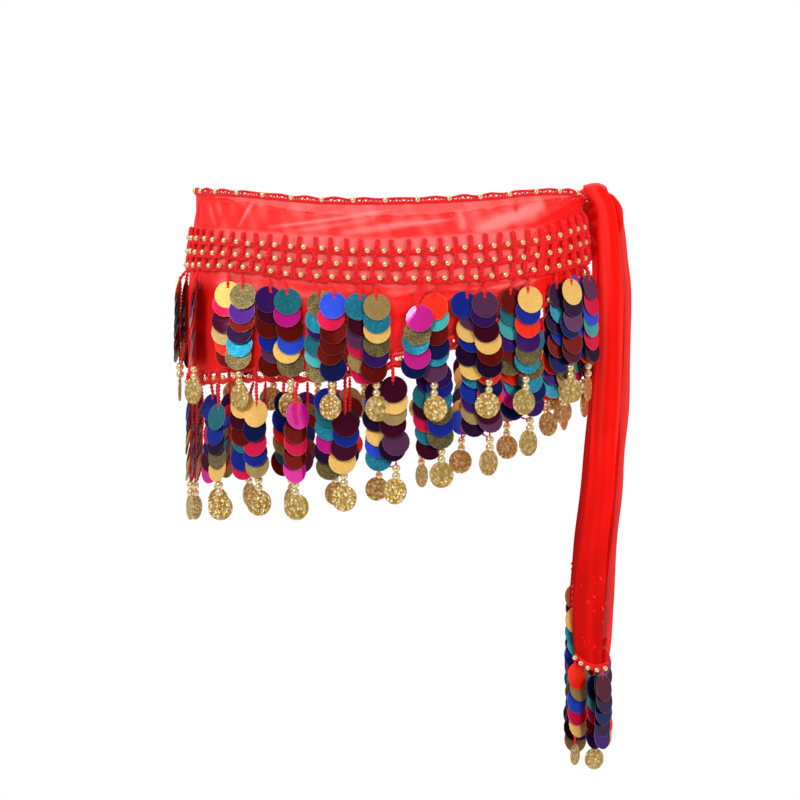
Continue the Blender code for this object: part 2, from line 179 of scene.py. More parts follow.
def on_scarf(share, deep, out=0.0, lower=0.0):
    """Points on the worn wrap, moved out level and lowered. deep runs 0 to 3 over the four lines.

    Pleats run into the knot, and thirteen shallow flutes grow from the band down to the hem.
    """
    share, deep, out, lower = np.broadcast_arrays(share, deep, out, lower)
    lines = edge_heights(share)
    k = np.clip(np.floor(deep).astype(int), 0, 2)
    f = deep - k
    first = np.take_along_axis(lines, k[..., None], -1)[..., 0]
    last = np.take_along_axis(lines, k[..., None] + 1, -1)[..., 0]
    height = first * (1 - f) + last * f - lower
    near = bell(from_knot(share), 0.075)
    above = unit(deep / 2)
    pleat = 0.0018 * near * (1 - above) * np.cos(3 * math.pi * above)
    below = unit(deep - 2)
    flute = 0.0030 * (1 - near) * below * (np.sin(26 * math.pi * share) - 1) / 2
    point, outward, _ = round_hips(share)
    return point + outward * (flare(height) + out + pleat + flute)[..., None] + np.stack(
        [0 * height, 0 * height, height], -1
    )


def linear(code):
    """An sRGB hex colour as linear red, green, blue and alpha."""
    srgb = np.array([int(code[i : i + 2], 16) for i in (1, 3, 5)]) / 255
    return (*np.where(srgb <= 0.04045, srgb / 12.92, ((srgb + 0.055) / 1.055) ** 2.4), 1.0)


def add(finish, kind, inputs=(), **settings):
    """Adds a node with its settings. inputs gives each socket a value, or the output that feeds it."""
    made = finish.node_tree.nodes.new(kind)
    for key, value in settings.items():
        setattr(made, key, value)
    for key, value in dict(inputs).items():
        if isinstance(value, bpy.types.NodeSocket):
            finish.node_tree.links.new(value, made.inputs[key])
        else:
            made.inputs[key].default_value = linear(value) if isinstance(value, str) else value
    return made


def mixed(finish, share, one, two, way="MIX"):
    """Two colours mixed by a share."""
    inputs = {"Fac": share, "Color1": one, "Color2": two}
    return add(finish, "ShaderNodeMixRGB", inputs, blend_type=way).outputs["Color"]


def ranged(finish, value, *ends):
    """A value carried from one range to another, which is 0 to 1 unless its ends are given."""
    return add(finish, "ShaderNodeMapRange", dict(enumerate((value, *ends)))).outputs[0]


def worked(finish, one, two, way):
    """Two values added or multiplied."""
    return add(finish, "ShaderNodeMath", {0: one, 1: two}, operation=way).outputs[0]


def new_finish(name, sockets):
    """A material with one Principled shader, its sockets set, and its colour and bump free."""
    finish = bpy.data.materials.new(name)
    finish.use_nodes = True
    for key, value in sockets.items():
        finish.node_tree.nodes["Principled BSDF"].inputs[key].default_value = value
    return finish


def cover(finish, colour, height=None, strength=0.0, distance=0.0):
    """Feeds a material its colour, and its bump if a height is given."""
    shader = finish.node_tree.nodes["Principled BSDF"].inputs
    finish.node_tree.links.new(colour, shader["Base Color"])
    if height is not None:
        bump = {"Height": height, "Strength": strength, "Distance": distance}
        finish.node_tree.links.new(add(finish, "ShaderNodeBump", bump).outputs[0], shader["Normal"])


def grid_faces(rows, columns, around=False):
    """The four-sided faces between neighbouring points of a grid, joined round if asked."""
    index = np.arange(rows * columns).reshape(rows, columns)
    if around:
        index = np.concatenate([index, index[:, :1]], 1)
    corners = [index[:-1, :-1], index[:-1, 1:], index[1:, 1:], index[1:, :-1]]
    return np.stack(corners, -1).reshape(-1, 4)


def make_piece(name, points, faces, finish, uv=None, tone=None, weld=False, sharp=None):
    """A mesh of one shape, or of many copies of it: points is (copies, points of the shape, 3)."""
    copies, count = points.shape[:2]
    jump = (np.arange(copies) * count)[:, None, None]
    groups = faces if isinstance(faces, list) else [faces]
    polygons = [f for g in groups for f in (g[None] + jump).reshape(-1, g.shape[1]).tolist()]
    mesh = bpy.data.meshes.new(name)
    mesh.from_pydata(points.reshape(-1, 3).tolist(), [], polygons)
    if uv is not None:
        corner = np.zeros(len(mesh.loops), int)
        mesh.loops.foreach_get("vertex_index", corner)
        layer = mesh.uv_layers.new(name="cloth")
        layer.data.foreach_set("uv", uv.reshape(-1, 2)[corner].ravel())
    if tone is not None:
        held = mesh.attributes.new("tone", "FLOAT", "POINT")
        held.data.foreach_set("value", np.ascontiguousarray(tone, float).ravel())
    if weld:
        shape = bmesh.new()
        shape.from_mesh(mesh)
        bmesh.ops.remove_doubles(shape, verts=shape.verts, dist=1e-6)
        shape.to_mesh(mesh)
        shape.free()
    mesh.shade_smooth()
    if sharp:
        mesh.set_sharp_from_angle(angle=sharp)
    mesh.materials.append(finish)
    piece = bpy.data.objects.new(name, mesh)
    bpy.context.scene.collection.objects.link(piece)
    return piece


def new_chiffon(name, pale, single, double, alpha):
    """Sheer chiffon: pale where it catches the light, red where single, deeper where doubled.

    Its threads are drawn 1.3 mm apart, because finer ones would not show in the picture.
    """
    sockets = {"Roughness": 0.6, "Alpha": alpha, "Sheen Weight": 0.03, "Sheen Roughness": 0.4}
    finish = new_finish(name, {**sockets, "Specular IOR Level": 0.12})
    tone = add(finish, "ShaderNodeAttribute", attribute_name="tone").outputs["Fac"]
    lighter = mixed(finish, ranged(finish, tone, 0.0, 0.5), pale, single)
    red = mixed(finish, ranged(finish, tone, 0.5, 1.0), lighter, double)
    place = add(finish, "ShaderNodeUVMap", uv_map="cloth").outputs["UV"]
    bands = {"Vector": place, "Scale": 0.314 / THREAD_GAP, "Distortion": 0.6, "Detail": 1.0}
    waves = [add(finish, "ShaderNodeTexWave", bands, bands_direction=way) for way in ("X", "Y")]
    weave = worked(finish, waves[0].outputs["Fac"], waves[1].outputs["Fac"], "ADD")
    cloud = add(finish, "ShaderNodeTexNoise", {"Vector": place, "Scale": 38.0, "Detail": 2.0})
    uneven = worked(finish, weave, cloud.outputs["Fac"], "ADD")
    shade = ranged(finish, uneven, 0.6, 2.2, 0.90, 1.0)
    cover(finish, mixed(finish, 1.0, red, shade, "MULTIPLY"), weave, 0.25, 0.0002)
    return finish


def crease_heights(share, deep):
    """Height of the creases in metres: each is a bell across a line, fading at the line's ends."""
    here = np.stack([share * AROUND, deep * STEP_DOWN], -1)
    height = np.zeros(share.shape)
    for s0, d0, s1, d1, width, high in CREASES:
        start = np.array([s0 * AROUND, d0 * STEP_DOWN])
        along = np.array([s1 * AROUND, d1 * STEP_DOWN]) - start
        t = unit(((here - start) @ along) / (along @ along))
        gap = np.linalg.norm(here - start - t[..., None] * along, axis=-1)
        fade = np.sqrt(unit(4 * t * (1 - t)))
        height += 0.001 * high * fade * bell(gap, 0.001 * width)
    return height


chiffon = new_chiffon("sheer polyester chiffon", "#FF8684", "#FF2E2C", "#FF0402", 0.92)
across, down = np.meshgrid(np.linspace(0, 1, 620), np.linspace(0, 3, 92))
raised = crease_heights(across, down)
for apart, slant, begin in ((0.047, 2.3, 0.4), (0.029, -4.1, 2.0), (0.016, 6.7, 4.4)):
    raised += 0.00016 * np.sin(across * AROUND / apart * 2 * math.pi + slant * down + begin)
lying = np.clip(np.abs(down - 1.5) - 0.5, 0, 0.12) / 0.12
raised *= 0.25 + 0.75 * lying
nearer = from_knot(across)
under = 2.21 + 0.24 * bell(nearer - 0.10, 0.045) + 0.02 * np.sin(across * 83)
rolled = unit((0.44 - nearer) * 14) * unit((nearer - 0.05) * 30)
raised += 0.0011 * rolled * bell(down - under + 0.075, 0.050)
raised -= 0.0013 * rolled * bell(down - under, 0.016)
side = np.abs(np.cos(np.interp(across, shares, turns)))
tone = 0.46 + 0.50 * unit(side - 0.80) / 0.20
tone -= 0.30 * (1 - lying)
# The creases, wrinkles and rolled fold are painted paler on their ridges, a painted highlight, and
# deeper red in their troughs, painted shade.
tone -= np.clip(raised * 260, -0.42, 0.42) * (0.3 + 0.7 * lying)
clouded = np.sin(across * 37 + 3.2 * np.sin(down * 1.9 + across * 9))
tone += 0.07 * clouded * np.sin(down * 2.6 + across * 23)
tone += unit((down - under + 0.02) / 0.04) * 0.42
tone += 0.26 * rolled * bell(down - under + 0.09, 0.080)
# Along the hem's flutes the ridges are painted paler, a painted highlight, and the troughs deeper red,
# painted shade.
tone += 0.13 * np.sin(across * 26 * math.pi + 1.2 * down) * np.clip(down - 2.3, 0, 0.3) / 0.3
doubled = 1 / (1 + np.exp(-(down - 1 + (0.105 - nearer) * 9.5) * 16))
tone += 0.7 * doubled * unit((0.115 - nearer) * 40)
lengths = np.stack([across * AROUND, -down * 0.045], -1)
wrap = make_piece(
    "hip_wrap_chiffon",
    on_scarf(across, down, CLOTH_OUT + raised).reshape(1, -1, 3),
    grid_faces(*across.shape),
    chiffon,
    uv=lengths,
    tone=unit(tone),
)
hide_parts("hip_wrap")
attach(wrap, "root")


# The top edge has an openwork braid of crocheted red yarn, 5 mm high: a firm row of stitches on
# the cloth's edge, a looser row above it, and a zigzag of chain between them. A gold plated bead
# sits in it every 26 mm. The yarn is two plies of polyester with a fine metallic sparkle.
def along_path(paths, outward):
    """The direction across each path nearest to outward, and the one beside it."""
    tangent = np.gradient(paths, axis=-2)
    tangent /= np.linalg.norm(tangent, axis=-1, keepdims=True)
    normal = outward - (outward * tangent).sum(-1, keepdims=True) * tangent
    normal /= np.linalg.norm(normal, axis=-1, keepdims=True)
    return normal, np.cross(tangent, normal)


def path_lengths(paths):
    """Length from the start of each path to each of its points."""
    step = np.linalg.norm(np.diff(paths, axis=-2), axis=-1)
    return np.concatenate([np.zeros_like(step[..., :1]), np.cumsum(step, -1)], -1)


def tube(paths, outward, radius, sides=5):
    """Rings of points round paths, (copies, points, 3). The rings close to a point at both ends."""
    normal, third = along_path(paths, outward)
    turn = np.linspace(0, 2 * math.pi, sides, endpoint=False)
    t = np.linspace(-1, 1, paths.shape[1])
    closing = np.sqrt(unit(1 - t**24))[None, :, None, None]
    ring = np.cos(turn)[:, None] * normal[:, :, None] + np.sin(turn)[:, None] * third[:, :, None]
    radius = np.broadcast_to(radius, paths.shape[:2])[..., None, None]
    rings = paths[:, :, None] + ring * radius * closing
    return rings.reshape(len(paths), -1, 3), grid_faces(paths.shape[1], sides, True)


def two_ply(paths, outward, ply, pitch, sides=5):
    """Two plies twisted round each other along paths: each ply is a tube on a helix.

    ply is its radius, alike everywhere or one for each path or point.
    """
    ply = np.broadcast_to(ply, paths.shape[:2])
    normal, third = along_path(paths, outward)
    turn = (path_lengths(paths) * 2 * math.pi / pitch)[..., None]
    plies = []
    for start in (0, math.pi):
        offset = np.cos(turn + start) * normal + np.sin(turn + start) * third
        plies.append(paths + 0.9 * ply[..., None] * offset)
    outward, ply = np.concatenate([outward, outward]), np.concatenate([ply, ply])
    return tube(np.concatenate(plies), outward, ply, sides)


def crowded(column, radius):
    """A yarn's radius: up to 80% more where the band is drawn together towards the knot."""
    return radius * (1 + 0.80 * bell(from_knot(column / COLUMNS), 0.10))


def make_yarn(name, parts):
    """One piece of all the yarn in parts."""
    points = np.concatenate([points for points, _ in parts])
    return make_piece(name, points, parts[0][1], yarn, weld=True)


def polar_grid(falls, sides):
    """How far from a pole each point is, and its turn round it, for rings round the pole."""
    return np.meshgrid(falls, np.arange(sides) * 2 * math.pi / sides, indexing="ij")


def make_beads(name, centres, radius):
    """Round gold plated beads at the centres, each of seven rings with ten sides."""
    fall, turn = polar_grid(np.linspace(0, math.pi, 7), 10)
    ball = np.stack([np.sin(fall) * np.cos(turn), -np.sin(fall) * np.sin(turn), np.cos(fall)], -1)
    points = centres[:, None] + ball.reshape(-1, 3)[None] * radius
    return make_piece(name, points, grid_faces(7, 10, True), bead_gold, weld=True)


yarn = new_finish(
    "crocheted polyester yarn",
    {"Roughness": 0.6, "Sheen Weight": 0.12, "Sheen Roughness": 0.5, "Specular IOR Level": 0.3},
)
spun = add(yarn, "ShaderNodeTexCoord").outputs["Object"]
fleck = add(yarn, "ShaderNodeTexVoronoi", {"Vector": spun, "Scale": 900.0}).outputs["Color"]
glint = add(yarn, "ShaderNodeSeparateColor", {0: fleck}).outputs[0]
fuzz = add(yarn, "ShaderNodeTexNoise", {"Vector": spun, "Scale": 1400.0, "Detail": 3.0})
cover(yarn, mixed(yarn, glint, "#D80008", "#FF1A20"), fuzz.outputs["Fac"], 0.5, 0.0004)

bead_gold = new_finish("gold plated bead", {"Metallic": 0.75, "Roughness": 0.24})
plated = add(bead_gold, "ShaderNodeTexCoord").outputs["Object"]
worn_gold = add(bead_gold, "ShaderNodeTexNoise", {"Vector": plated, "Scale": 420.0}).outputs["Fac"]
cover(bead_gold, mixed(bead_gold, worn_gold, "#EFC87C", "#FFF2C8"))

COLUMNS, FIRST, LAST = 69, 2, 67
rng = np.random.default_rng(7)
column = np.linspace(0.3, COLUMNS - 0.3, 1300)
outward = round_hips(column / COLUMNS)[1][None]
braid_parts = []
for lift, size, sway in ((0.0008, 0.00088, 0.0), (0.0041, 0.00070, 0.0005)):
    wave = sway * (np.cos(2 * math.pi * column / 2.07) + 0.6 * np.sin(column * 3.7))
    path = on_scarf(column / COLUMNS, 0.0, CLOTH_OUT + 0.0003, -lift - wave)[None]
    braid_parts.append(two_ply(path, outward, size, 0.0034, 4))
beat = 2 * math.pi * column / 0.42 + 1.1 * np.sin(column * 1.7) + 0.7 * np.sin(column * 4.1)
zig = 0.5 + (1 / math.pi) * np.arcsin(np.sin(beat))
path = on_scarf(column / COLUMNS, 0.0, CLOTH_OUT + 0.0008 * np.cos(column * 9), -0.0008 - 0.0032 * zig)
braid_parts.append(two_ply(path[None], outward, 0.00048, 0.0030, 4))
braid = make_yarn("top_braid_yarn", braid_parts)
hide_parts("top_braid")
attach(braid, "root")
knots = np.arange(0.9, COLUMNS - 0.5, 2.07)
centres = on_scarf(knots / COLUMNS, 0.0, CLOTH_OUT + 0.0008, -0.0029)
top_beads = make_beads("top_braid_beads", centres, 0.0024)
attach(top_beads, "root")


# The band is three rows of crocheted lattice, laid on the chiffon and sewn down by the stems of
# its open top row. Its posts and bars are twisted yarn about 3 mm thick, and a 5 mm gold plated
# bead is worked into the middle of each cell's lower bar.
def yarn_posts(column_top, deep_top, column_end, deep_end, out, lower=0.0):
    """Straight paths on the scarf from one point to another, a little bowed, one for each post."""
    t = np.linspace(0, 1, 15)
    columns = column_top[:, None] * (1 - t) + column_end[:, None] * t
    deep = deep_top[:, None] * (1 - t) + deep_end[:, None] * t
    drop = np.asarray(lower).reshape(-1, 1) * t
    bow = 0.05 * np.sin(math.pi * t + 5 * column_top[:, None]) * np.sin(2.1 * column_top[:, None])
    paths = on_scarf((columns + bow) / COLUMNS, deep, out + 0.0004 * np.sin(math.pi * t), drop)
    return paths, round_hips(columns / COLUMNS)[1]


BAND_OUT = 0.0024
posts = np.arange(FIRST, LAST + 1).astype(float)
shift = (0.0, 0.02, 0.28)
lattice_parts = []
for row in range(3):
    jitter = np.clip(rng.normal(0, 0.07, (2, len(posts))), -0.14, 0.14)
    top, end = np.clip(posts + shift[row] + jitter, FIRST - 0.1, LAST + 0.1)
    deep = 1 + row / 3
    early = np.full(len(posts), deep - (0.0 if row else 0.03))
    late = np.full(len(posts), deep + 1 / 3)
    paths, faced = yarn_posts(top, early, end, late, BAND_OUT)
    lattice_parts.append(two_ply(paths, faced, crowded(posts, 0.00118)[:, None], 0.0046, 5))
lattice_posts = make_yarn("lattice_posts_yarn", lattice_parts)
column = np.linspace(FIRST, LAST, 1240)
outward = round_hips(column / COLUMNS)[1][None]
bar_parts = []
for row in range(3):
    sag = 0.0005 * np.cos(2 * math.pi * (column - shift[row])) + 0.0004 * np.sin(column * 2.3 + row)
    for rise, size in ((0.0, 0.00102), (0.0018, 0.00084)):
        path = on_scarf(column / COLUMNS, 1 + (row + 1) / 3, BAND_OUT, sag - rise)[None]
        bar_parts.append(two_ply(path, outward, crowded(column, size)[None], 0.0040 + 0.0005 * row, 4))
lattice_bars = make_yarn("lattice_bars_yarn", bar_parts)
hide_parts("lattice_front", "lattice_back")
cells, rows = np.meshgrid(posts[:-1] + 0.5, np.arange(3))
cells = cells + np.array(shift)[rows] + rng.normal(0, 0.05, cells.shape)
raised_by = 0.0030 + rng.normal(0, 0.0003, cells.shape)
centres = on_scarf(cells / COLUMNS, 1 + (rows + 1) / 3, BAND_OUT + 0.0012, -raised_by)
lattice_beads = make_beads("lattice_beads", centres.reshape(-1, 3), 0.0025)
for piece in (lattice_posts, lattice_bars, lattice_beads):
    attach(piece, "root")


# The hem's edging is one row of the same crochet, hung from the cut hem like a comb: a post at
# each column, a bar below, and a 4 mm gold plated bead in each cell.
COMB = 0.0095
flat_deep = np.full(len(posts), 3.0)
paths, faced = yarn_posts(posts, flat_deep, posts, flat_deep, 0.0010, np.full(len(posts), COMB))
comb_posts = two_ply(paths, faced, 0.00095, 0.0042, 5)
stitched = []
for lower, sway in ((0.0002, 0.0004), (COMB - 0.0010, 0.0008), (COMB, 0.0008)):
    wave = sway * np.cos(2 * math.pi * column)
    path = on_scarf(column / COLUMNS, 3.0, 0.0010, lower - wave)[None]
    stitched.append(two_ply(path, outward, 0.00075, 0.0038, 4))
hem_posts = make_yarn("hem_edging_posts", [comb_posts])
hem_bars = make_yarn("hem_edging_bars", stitched)
middles = (posts[:-1] + 0.5) / COLUMNS
tucked = 0.0014 * bell(from_knot(middles), 0.08)
centres = on_scarf(middles, 3.0, 0.0018 - tucked, COMB - 0.0028)
hem_beads = make_beads("hem_beads", centres, 0.0020)
for piece in (hem_posts, hem_bars, hem_beads):
    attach(piece, "root")


# Two tiers of fringe hang from the band's foot and from the hem's edging. Each strand is a
# crocheted cord with six 22 mm plastic paillettes threaded on it, 10 mm apart so that each lies
# over the next. Strands hang in pairs, which meet at two gold plated beads and a stamped coin.
DISC, DISC_STEP, DISC_THICK = 0.0225, 0.0100, 0.00035
HOLE_DOWN = 0.0030
PER_STRAND, CORD_POINTS = 6, 104
HALF_PAIR = 0.0063
PLUMB = np.array([0.0, 0.0, -1.0])
# Half the width, half the height and half the thickness of a coin on the tiers and the tie ends
TIER_COIN, TAIL_COIN = (0.0102, 0.0107, 0.0011), (0.0085, 0.0090, 0.0010)
UPPER_PAIRS = (3, 5, 8, 11, 14, 18, 21, 24, 27, 31, 34, 37, 41, 44, 47, 50, 54, 57, 60, 63, 65)
LOWER_PAIRS = (3, 5, 8, 11, 14, 17, 20, 23, 26, 29, 32, 36, 39, 42, 45, 48, 51, 54, 57, 60, 63, 65)
# Colour, how metallic, roughness, and how much glitter
FINISHES = {
    "matte_gold": ("#F8C468", 0.35, 0.42, 0.0),
    "antique_gold_glitter": ("#7C6C44", 0.70, 0.40, 0.8),
    "khaki_gold": ("#B2935A", 0.55, 0.40, 0.15),
    "royal_blue": ("#2C50DC", 0.45, 0.32, 0.0),
    "deep_blue": ("#162C9C", 0.50, 0.22, 0.0),
    "navy": ("#0E1A58", 0.60, 0.22, 0.0),
    "teal": ("#207684", 0.55, 0.30, 0.25),
    "turquoise_foil": ("#2A9CBC", 0.75, 0.30, 0.4),
    "aqua": ("#48B0B0", 0.50, 0.34, 0.0),
    "crimson": ("#E4104C", 0.45, 0.34, 0.0),
    "magenta_foil": ("#E4109C", 0.45, 0.10, 0.0),
    "red_orange": ("#FF2A0C", 0.30, 0.40, 0.0),
    "dark_red": ("#7E140C", 0.70, 0.20, 0.0),
    "maroon": ("#540A2C", 0.70, 0.18, 0.0),
    "purple": ("#431870", 0.65, 0.24, 0.1),
    "dark_purple": ("#30103C", 0.70, 0.16, 0.1),
    "mauve": ("#6C3A62", 0.65, 0.26, 0.0),
}
# The clear coat over two of the foils, and over all the others
COATS, PLAIN_COAT = {"magenta_foil": 0.9, "turquoise_foil": 0.4}, 0.12
# How often each finish is drawn, in the order above
ODDS = np.array([8, 7, 8, 5, 7, 7, 7, 9, 3, 7, 2, 6, 11, 9, 7, 9, 3], float)
# The topmost paillettes of the front pairs, from the knot on: the outer strand, then the inner
FRONT_TOPS = (
    ("mauve", "royal_blue"),
    ("matte_gold", "dark_purple"),
    ("matte_gold", "dark_red"),
    ("mauve", "deep_blue"),
    ("red_orange", "magenta_foil"),
    ("khaki_gold", "turquoise_foil"),
    ("royal_blue", "antique_gold_glitter"),
    ("teal", "purple"),
    ("antique_gold_glitter", "matte_gold"),
    ("maroon", "dark_purple"),
    ("matte_gold", "mauve"),
)
# How far the discs of a pair are turned from the hips' direction, in radians, where they were set
TURNED = {
    "upper": {
        1: -0.05, 2: -0.12, 3: -0.12, 4: -0.26, 6: 0.10, 7: 0.40,
        8: 0.42, 9: -0.35, 10: -0.10, 15: 0.80, 18: -0.90,
    },
    "lower": {
        0: -0.06, 1: -0.05, 2: -0.10, 6: 0.20, 7: 1.00,
        10: -0.38, 13: 0.90, 17: -0.90, 20: 0.01, 21: 0.20,
    },
}
# In this pair the strand away from the knot hangs in front. It has no first disc, and its second
# one is magenta
MAGENTA_PAIR = 4
# How far the front pairs lean aside before their first disc, away from the knot
FRONT_SHIFTS = (0.0, 0.0, 0.0060, 0.0050, 0.0060, 0.0, -0.0060, -0.0040, -0.0040, -0.0070)


def new_foil(name, colour, metallic, roughness, glitter):
    """A stamped polyester disc with a coloured foil, glossy, and flecked where it is glitter."""
    sockets = {"Metallic": metallic, "Roughness": roughness, "Specular IOR Level": 0.2}
    sockets |= {"Coat Weight": COATS.get(name, PLAIN_COAT), "Coat Roughness": 0.06}
    finish = new_finish(name.replace("_", " ") + " paillette", sockets)
    place = add(finish, "ShaderNodeTexCoord").outputs["Object"]
    fleck = add(finish, "ShaderNodeTexVoronoi", {"Vector": place, "Scale": 1500.0}).outputs["Color"]
    part = add(finish, "ShaderNodeSeparateColor", {0: fleck}).outputs[0]
    smear = add(finish, "ShaderNodeTexNoise", {"Vector": place, "Scale": 120.0, "Detail": 3.0})
    blend = worked(finish, part, smear.outputs["Fac"], "MULTIPLY")
    shade = ranged(finish, blend, 0.05, 0.55, 0.88 - 0.6 * glitter, 1.10 + 0.9 * glitter)
    flecked = mixed(finish, 1.0, colour, shade, "MULTIPLY")
    # A thin cream rim is painted round each disc's edge, a painted highlight.
    flat = add(finish, "ShaderNodeUVMap", uv_map="cloth").outputs["UV"]
    reach = add(finish, "ShaderNodeVectorMath", {0: flat}, operation="LENGTH").outputs["Value"]
    painted_rim_highlight = mixed(finish, ranged(finish, reach, 0.95, 0.98, 0.0, 0.13), flecked, "#F4E4D4")
    cover(finish, painted_rim_highlight, smear.outputs["Fac"], 0.25, 0.0006)
    return finish


def disc_shape():
    """A unit disc with a hole near its top, as two faces and their rims.

    Eighteen points on the outside, and six round the hole that each face three of them.
    """
    turn = np.arange(18) * 2 * math.pi / 18
    outer = np.stack([np.sin(turn), -np.cos(turn)], -1)
    centre = np.array([0, -(1 - HOLE_DOWN / (DISC / 2))])
    seen = outer - centre
    seen = np.arctan2(seen[:, 0], -seen[:, 1])
    middle = seen[1::3]
    hole = centre + 0.11 * np.stack([np.sin(middle), -np.cos(middle)], -1)
    flat = np.concatenate([outer, hole])
    i = np.arange(18)
    near = 18 + i // 3
    fan = np.stack([i, (i + 1) % 18, near], -1)
    j = np.arange(6)
    bridge = np.stack([(3 * j + 3) % 18, 18 + (j + 1) % 6, 18 + j], -1)
    front = np.concatenate([fan, bridge])
    back = front[:, ::-1] + 24
    rim = np.stack([(i + 1) % 18, i, i + 24, (i + 1) % 18 + 24], -1)
    inside = np.stack([18 + j, 18 + (j + 1) % 6, 42 + (j + 1) % 6, 42 + j], -1)
    return flat, [np.concatenate([front, back]), np.concatenate([rim, inside])]


def hang(root, outward, side, drop, stem, reach, sway, shifted, back=0.0):
    """Points down strands from their roots, at the drops given.

    Along its stem a strand comes out to its reach and is shifted aside. It then follows the hips
    as they widen, and sways more the lower it is.
    """
    eased = unit(drop / stem)
    height = root[:, None, 2] - drop
    wider = flare(height) - flare(root[:, None, 2])
    moved = root[:, None] + outward[:, None] * (wider + (eased * reach - back))[..., None]
    moved = moved + (sway * drop / 0.06 + shifted * eased)[..., None] * side[:, None]
    moved[..., 2] = height
    return moved


def turned_by(one, other, angle):
    """Two directions at right angles, turned together by an angle for each row."""
    c, s = np.cos(angle)[:, None], np.sin(angle)[:, None]
    return c * one + s * other, c * other - s * one


def make_discs(name, places, outs, sides, pick, tilt, yaw, roll, bend, crease):
    """Paillettes hung by their holes: turned, tilted, bowed, and some creased down their middle."""
    flat, faces = disc_shape()
    right, facing = turned_by(sides, outs, yaw)
    low, front = turned_by(PLUMB, facing, tilt)
    right, low = turned_by(right, low, roll)
    centre = places + low * (DISC / 2 - HOLE_DOWN)
    both = np.concatenate([flat, flat])
    thick = np.repeat([0.5, -0.5], 24) * DISC_THICK
    lean = both[:, 0] * np.cos(bend[:, 1:2]) + both[:, 1] * np.sin(bend[:, 1:2])
    high = thick[None] + bend[:, :1] * lean**2 + crease[:, None] * np.abs(both[:, 0])
    spread = right[:, None] * both[None, :, :1] + low[:, None] * both[None, :, 1:]
    points = centre[:, None] + spread * DISC / 2 + front[:, None] * high[..., None]
    for number, (label, values) in enumerate(FINISHES.items()):
        chosen = pick == number
        if not chosen.any():
            continue
        uv = np.tile(both, (int(chosen.sum()), 1))
        piece = make_piece(f"{name}_{label}", points[chosen], faces, foils[label], uv=uv, sharp=0.7)
        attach(piece, "root")


def make_coins(name, centres, right, low, facing, size):
    """Coins turned from one profile: a low dome, a raised rim and a plain back."""
    radius = np.array([0, 0.30, 0.62, 0.84, 0.93, 1.0, 1.0, 0.93, 0.60, 0.30, 0])
    height = np.array([0.9, 0.85, 0.7, 0.55, 0.8, 0.5, -0.3, -0.6, -0.5, -0.5, -0.5])
    turn = np.arange(24) * 2 * math.pi / 24
    x, y = radius[:, None] * np.cos(turn), radius[:, None] * np.sin(turn)
    shape = np.stack([x, y, np.broadcast_to(height[:, None], x.shape)], -1).reshape(-1, 3)
    frames = np.broadcast_arrays(right * size[0], low * size[1], facing * size[2])
    points = centres[:, None] + np.einsum("pk,ckx->cpx", shape, np.stack(frames, 1))
    return make_piece(name, points, grid_faces(*x.shape, True), coin_gold, weld=True)


foils = {label: new_foil(label, *values) for label, values in FINISHES.items()}
coin_gold = new_finish("stamped brass coin", {"Metallic": 0.80, "Roughness": 0.30})
struck = add(coin_gold, "ShaderNodeTexCoord").outputs["Object"]
dents = add(coin_gold, "ShaderNodeTexVoronoi", {"Vector": struck, "Scale": 330.0, "Randomness": 1.0})
pits = add(coin_gold, "ShaderNodeTexNoise", {"Vector": struck, "Scale": 520.0, "Detail": 3.0})
relief = worked(coin_gold, dents.outputs["Distance"], pits.outputs["Fac"], "ADD")
tarnish = ranged(coin_gold, relief, 0.5, 1.15, 1.0, 0.0)
cover(coin_gold, mixed(coin_gold, tarnish, "#C69C4C", "#FFECB4"), relief, 1.0, 0.0012)

